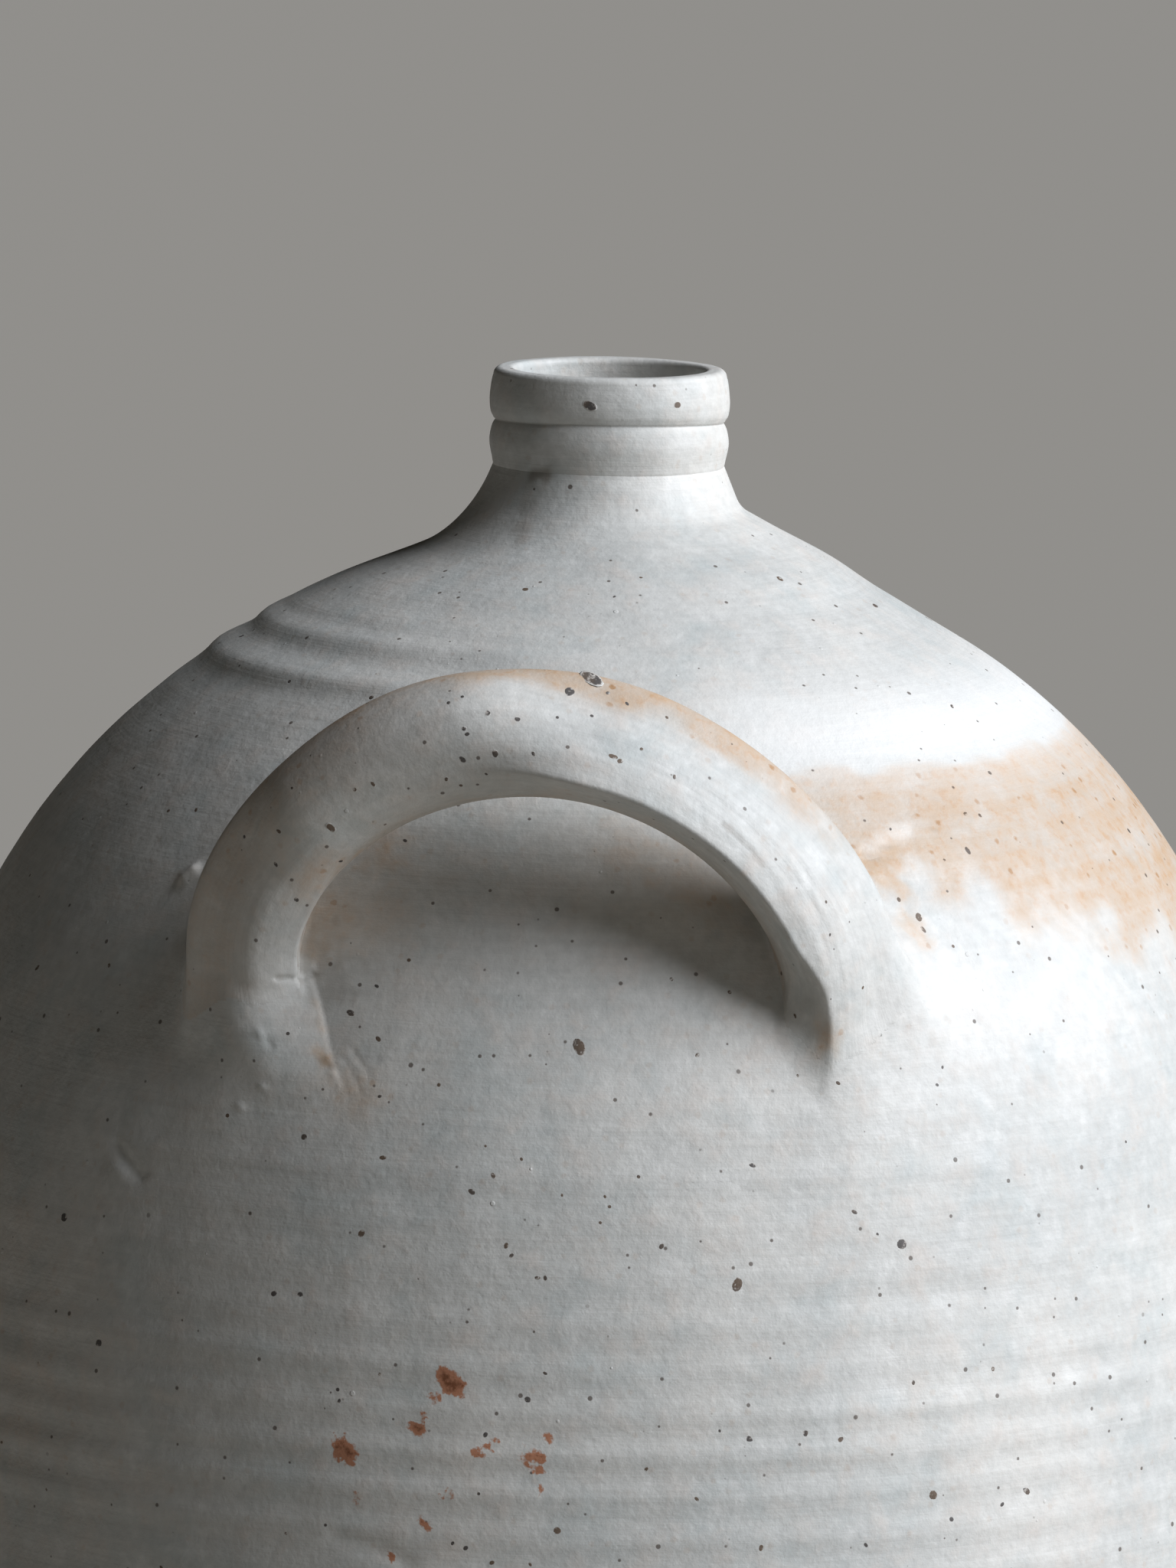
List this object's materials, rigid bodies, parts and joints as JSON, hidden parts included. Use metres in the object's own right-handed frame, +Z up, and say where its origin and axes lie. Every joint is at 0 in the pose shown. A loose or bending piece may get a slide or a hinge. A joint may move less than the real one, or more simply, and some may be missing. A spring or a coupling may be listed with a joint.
{
  "type": "stoneware demijohn",
  "caption": "Big-bellied stoneware jug with a short banded neck and a thick bow handle standing on its shoulder, for storing and pouring liquids.",
  "frame": {"origin": "centre of the flat foot, on the surface the jug stands on", "axes": "+Z up through the body to the mouth, -Y towards the side with the handle, +X to the right when facing the handle"},
  "size_m": [0.317, 0.317, 0.435],
  "materials": {
    "pale_stoneware": "pale grey fired stoneware with a thin satin ash surface, throwing rings, iron specks and orange flashing",
    "flashed_stoneware": "pale grey fired stoneware, pulled by hand, flashed orange along its crown",
    "bare_stoneware": "bare buff stoneware, dry and slightly gritty where it stood in the kiln"
  },
  "bodies": {
    "root": {"base_slab": "bare_stoneware", "lower_wall": "pale_stoneware", "belly_wall": "pale_stoneware", "shoulder_wall": "pale_stoneware", "neck": "pale_stoneware", "mouth_collar": "pale_stoneware", "carrying_handle": "flashed_stoneware", "left_handle_root": "pale_stoneware", "right_handle_root": "pale_stoneware"}
  },
  "joints": []
}
